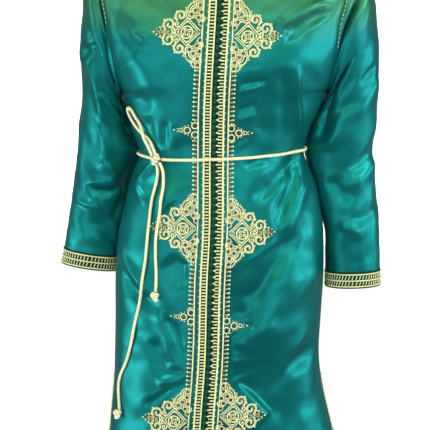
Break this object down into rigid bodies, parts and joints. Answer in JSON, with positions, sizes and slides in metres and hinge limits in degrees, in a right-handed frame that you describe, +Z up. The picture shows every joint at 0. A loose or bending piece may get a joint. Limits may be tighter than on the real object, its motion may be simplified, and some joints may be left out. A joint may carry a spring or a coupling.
{
  "type": "kaftan tunic",
  "caption": "Worn, hollow satin kaftan tunic with a buttoned front, gold braid and couched embroidery, braided cuffs, side slits and a tied cord belt.",
  "frame": {"origin": "middle of the neck opening, level with the neck ends of the shoulder seams", "axes": "+X to the wearer's left, -Y out of the front, +Z up from hem to neck"},
  "size_m": [0.6348, 0.2478, 1.0076],
  "materials": {
    "teal_satin": "heavy teal polyester satin with a soft sheen",
    "gold_braid": "hand-woven pale gold metallic braid with dark green openings",
    "gold_cordwork": "couched pale gold cord embroidery with small dark sequins",
    "green_silk": "dark green silk knotted buttons and loops",
    "cream_cord": "twisted cream-gold silk cord"
  },
  "bodies": {
    "root": {"front_right_panel": "teal_satin", "front_left_panel": "teal_satin", "back_panel": "teal_satin", "sleeve_right": "teal_satin", "sleeve_left": "teal_satin", "placket_braid_right": "gold_braid", "placket_braid_left": "gold_braid", "button_row": "green_silk", "embroidery_right": "gold_cordwork", "embroidery_left": "gold_cordwork", "cuff_braid_right": "gold_braid", "cuff_braid_left": "gold_braid", "neck_braid_front_right": "gold_braid", "neck_braid_front_left": "gold_braid", "neck_braid_back": "gold_braid", "hem_braid_front_right": "gold_braid", "hem_braid_front_left": "gold_braid", "hem_braid_back": "gold_braid", "slit_braid_front_right": "gold_braid", "slit_braid_front_left": "gold_braid", "slit_braid_back_right": "gold_braid", "slit_braid_back_left": "gold_braid", "belt_cord": "cream_cord", "belt_knot": "cream_cord", "bow_loop": "cream_cord", "belt_tail_right": "cream_cord", "belt_tail_left": "cream_cord", "tail_knot_right": "cream_cord", "tail_knot_left": "cream_cord"}
  },
  "joints": []
}
